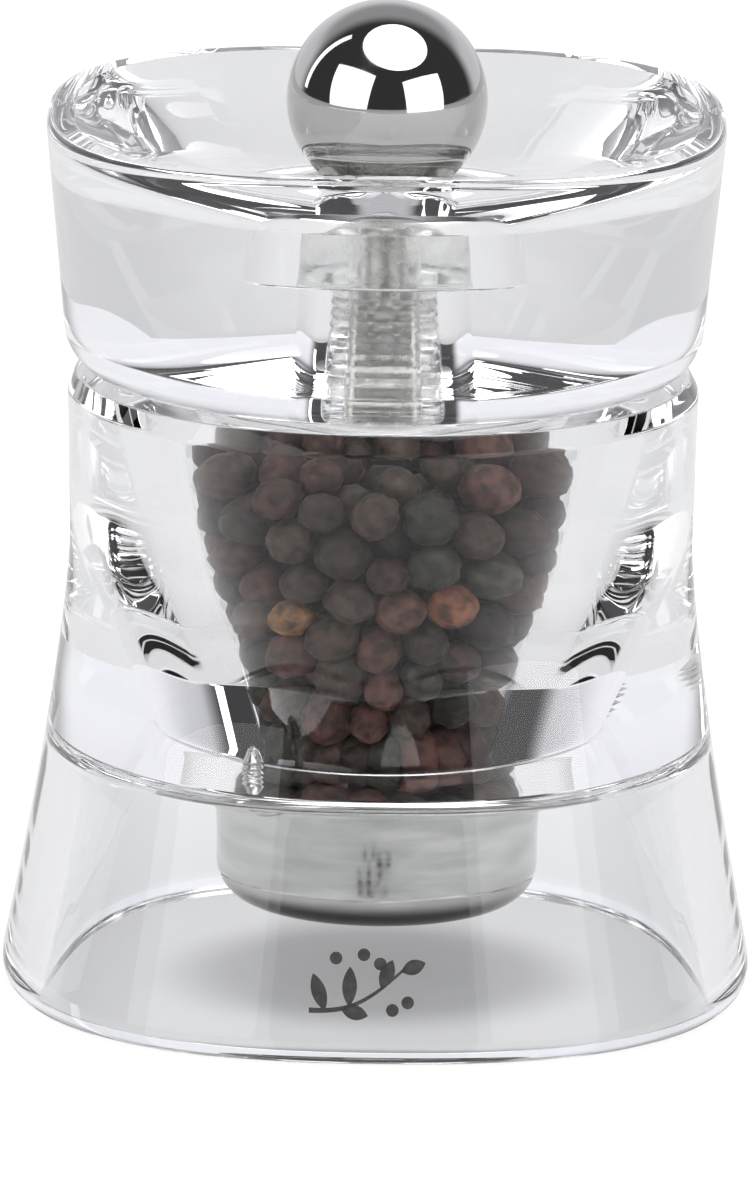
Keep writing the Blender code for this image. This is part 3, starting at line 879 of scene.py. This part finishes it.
def build_peppercorns(count=400, per_piece=150):
    places, radii, rng = settle(count, seed=7)
    pale = {np.linalg.norm(places - spot, axis=1).argmin(): colour for spot, colour in PALE_PEPPERCORNS}
    shapes = husk_shapes(9, 3)
    order = np.argsort(places[:, 2])
    for part, first in enumerate(range(0, len(order), per_piece)):
        points, faces, colours = [], [], []
        start = 0
        for index in order[first : first + per_piece]:
            shape, triangles = shapes[rng.integers(len(shapes))]
            turn = Matrix.Rotation(rng.uniform(0, 6.28), 3, Vector(rng.normal(size=3)).normalized())
            stretch = rng.uniform(0.94, 1.04, 3)
            moved = (shape * stretch) @ np.array(turn).T * radii[index] + places[index]
            points.append(moved * MM)
            faces.append(triangles + start)
            start += len(shape)
            colour = husk_colour(rng)
            colours += [(*pale.get(index, colour), 1.0)] * len(shape)
        mesh = bpy.data.meshes.new(f"peppercorns_{part + 1}")
        mesh.from_pydata(np.concatenate(points).tolist(), [], np.concatenate(faces).tolist())
        tint = mesh.attributes.new("husk", "FLOAT_COLOR", "POINT")
        tint.data.foreach_set("color", np.array(colours, np.float32).ravel())
        piece = finished(mesh.name, mesh, BODY, HUSK, 180)


build_peppercorns()


# ---------------------------------------------------------------- printed mark


def front_y(x, height):
    """Where the body's front face is, for a point at x and a height."""
    power = float(squareness(height))
    return -((flare(height) ** power - abs(x) ** power) ** (1 / power))


def stroke(points, widths):
    """The outline of a line of changing width through points (x, z)."""
    left, right = [], []
    for index, (x, z) in enumerate(points):
        back, ahead = points[max(0, index - 1)], points[min(len(points) - 1, index + 1)]
        across = Vector((back[1] - ahead[1], ahead[0] - back[0])).normalized() * widths[index] / 2
        left.append((x + across.x, z + across.y))
        right.append((x - across.x, z - across.y))
    return left + right[::-1]


def leaf(x, z, length, angle, width):
    """A pointed leaf that grows from (x, z)."""
    along = Vector((math.cos(angle), math.sin(angle)))
    steps = [k / 12 for k in range(13)]
    points = [(x + along.x * length * t, z + along.y * length * t) for t in steps]
    return stroke(points, [width * math.sin(math.pi * t) ** 0.8 + 0.02 for t in steps])


def berry(x, z, radius):
    return [(x + radius * math.cos(a), z + radius * math.sin(a)) for a in np.arange(20) * math.pi / 10]


def build_mark():
    """A small sprig, printed low on the front."""
    steps = np.linspace(0, 1, 25)
    stem = [(-5.2 + 7.6 * t, 4.6 + 3.4 * t - 1.1 * math.sin(math.pi * t)) for t in steps]
    shapes = [stroke(stem, [0.42 - 0.22 * t for t in steps])]
    leaves = [(0.2, 1.9, 3.0), (0.45, 1.55, 3.1), (0.35, -0.25, 2.2), (0.75, 1.2, 2.4), (0.98, 0.35, 2.0)]
    for share, angle, length in leaves:
        x, z = stem[int(share * 24)]
        shapes.append(leaf(x, z, length, angle, 1.15))
    shapes += [berry(x, z, 0.5) for x, z in ((-3.1, 8.7), (-0.9, 9.0), (0.4, 8.3), (2.6, 5.3), (1.4, 4.7))]
    work = bmesh.new()
    for shape in shapes:
        inner = [work.verts.new((x * MM, (front_y(x, z) - 0.004) * MM, z * MM)) for x, z in shape]
        outer = [work.verts.new((x * MM, (front_y(x, z) - 0.03) * MM, z * MM)) for x, z in shape]
        work.faces.new(outer)
        work.faces.new(inner[::-1])
        for index in range(len(shape)):
            after = (index + 1) % len(shape)
            work.faces.new((outer[index], inner[index], inner[after], outer[after]))
    bmesh.ops.triangulate(work, faces=work.faces)
    bmesh.ops.recalc_face_normals(work, faces=work.faces)
    mesh = bpy.data.meshes.new("printed_sprig")
    work.to_mesh(mesh)
    work.free()
    finished("printed_sprig", mesh, BODY, PRINT)


build_mark()


# ---------------------------------------------------------------- stage, light and camera

HEIGHT = (cad_high[2] - cad_low[2]) / MM
AIM = Vector((-0.5, 0.0, 0.386 * HEIGHT)) * MM
ELEVATION = math.radians(13.5)
ROLL = math.radians(0.8)
DISTANCE_M = 1.2
FRAME_HEIGHT = 1.206 * HEIGHT
SENSOR_MM = 36.0
FLOOR_GLOW, ROOM_DARK, SURROUND_WHITE = 0.53, 0.06, 0.95


def build_stage():
    """A floor that glows evenly, but for a soft disc under the grinder where a shadow would be."""
    mesh = bpy.data.meshes.new("floor")
    work = bmesh.new()
    bmesh.ops.create_circle(work, cap_ends=True, segments=64, radius=6.0)
    work.to_mesh(mesh)
    work.free()
    floor = bpy.data.objects.new("floor", mesh)
    bpy.context.scene.collection.objects.link(floor)
    s = Surface("floor_white", (0.28, 0.28, 0.28), 0.6)
    s.put("Specular IOR Level", 0.1)
    s.put("Emission Color", (1.0, 1.0, 1.0, 1.0))
    seen = s.nodes.new("ShaderNodeLightPath").outputs["Is Camera Ray"]
    length = s.nodes.new("ShaderNodeVectorMath")
    length.operation = "LENGTH"
    s.links.new(s.place, length.inputs[0])
    under_grinder = s.ranged(length.outputs["Value"], 11 * MM, 20 * MM, 0.55, 1.0)
    glow = s.ranged(seen, 0.0, 1.0, FLOOR_GLOW, FLOOR_GLOW + 0.3)
    s.wire(s.math("MULTIPLY", glow, under_grinder), "Emission Strength")
    mesh.materials.append(s.material)
    floor.location.z = cad_low[2] - 0.02 * MM


def lamp(name, azimuth, elevation, distance, width, height, radiance, shape="RECTANGLE"):
    """A flat light that faces the mill. Azimuth (to the right of the front) and elevation are in degrees,
    distance, width and height are in metres, and radiance is its brightness seen from the mill."""
    light = bpy.data.lights.new(name, "AREA")
    light.shape = shape
    light.size = width
    light.size_y = height
    area = math.pi * width * height / 4 if shape == "DISK" else width * height
    light.energy = radiance * math.pi * area
    turn, rise = math.radians(azimuth), math.radians(elevation)
    direction = Vector((math.sin(turn) * math.cos(rise), -math.cos(turn) * math.cos(rise), math.sin(rise)))
    place = AIM + direction * distance
    lamp_object = bpy.data.objects.new(name, light)
    facing = (AIM - place).to_track_quat("-Z", "Y").to_matrix().to_4x4()
    lamp_object.matrix_world = Matrix.Translation(place) @ facing
    bpy.context.scene.collection.objects.link(lamp_object)


def build_world():
    """A white surround low behind the mill, and a dark room above and in front of it."""
    world = bpy.data.worlds.new("studio")
    world.use_nodes = True
    bpy.context.scene.world = world
    nodes, links = world.node_tree.nodes, world.node_tree.links
    direction = nodes.new("ShaderNodeTexCoord").outputs["Generated"]
    parts = nodes.new("ShaderNodeSeparateXYZ")
    links.new(direction, parts.inputs[0])
    fades = []
    for axis, dark_at, white_at, darkest in ((1, 0.3, 0.6, 0.0), (2, 0.6, 0.3, 0.5)):
        fade = nodes.new("ShaderNodeMapRange")
        fade.interpolation_type = "SMOOTHSTEP"
        for socket, value in zip(list(fade.inputs)[1:5], (dark_at, white_at, darkest, 1.0)):
            socket.default_value = value
        links.new(parts.outputs[axis], fade.inputs[0])
        fades.append(fade.outputs[0])
    lit = nodes.new("ShaderNodeMath")
    lit.operation = "MULTIPLY"
    links.new(fades[0], lit.inputs[0])
    links.new(fades[1], lit.inputs[1])
    strength = nodes.new("ShaderNodeMath")
    strength.operation = "MULTIPLY_ADD"
    links.new(lit.outputs[0], strength.inputs[0])
    strength.inputs[1].default_value = SURROUND_WHITE - ROOM_DARK
    strength.inputs[2].default_value = ROOM_DARK
    background = nodes["Background"]
    background.inputs["Color"].default_value = (0.96, 0.96, 1.0, 1.0)
    links.new(strength.outputs[0], background.inputs["Strength"])


def build_lights():
    lamp("overhead", 28, 75, 1.0, 1.16, 1.16, 3.0, "DISK")
    lamp("panel_left", -46, 22, 1.0, 0.9, 0.76, 2.4)
    lamp("panel_right", 45, 13, 1.0, 0.85, 0.8, 2.4)
    lamp("strip_left", -110, 32, 1.0, 0.1, 1.0, 2.4)


def build_camera():
    camera = bpy.data.cameras.new("camera")
    camera.sensor_width = SENSOR_MM
    camera.lens = SENSOR_MM / 2 * DISTANCE_M / (FRAME_HEIGHT * MM / 2)
    camera.clip_end = 50
    eye = bpy.data.objects.new("camera", camera)
    bpy.context.scene.collection.objects.link(eye)
    place = AIM + DISTANCE_M * Vector((0, -math.cos(ELEVATION), math.sin(ELEVATION)))
    facing = (AIM - place).to_track_quat("-Z", "Y").to_matrix().to_4x4()
    eye.matrix_world = Matrix.Translation(place) @ facing @ Matrix.Rotation(ROLL, 4, "Z")
    bpy.context.scene.camera = eye


build_stage()
build_world()
build_lights()
build_camera()
scene = bpy.context.scene
scene.view_settings.view_transform = "Standard"
scene.cycles.max_bounces = 24
scene.cycles.transmission_bounces = 24
scene.cycles.glossy_bounces = 10
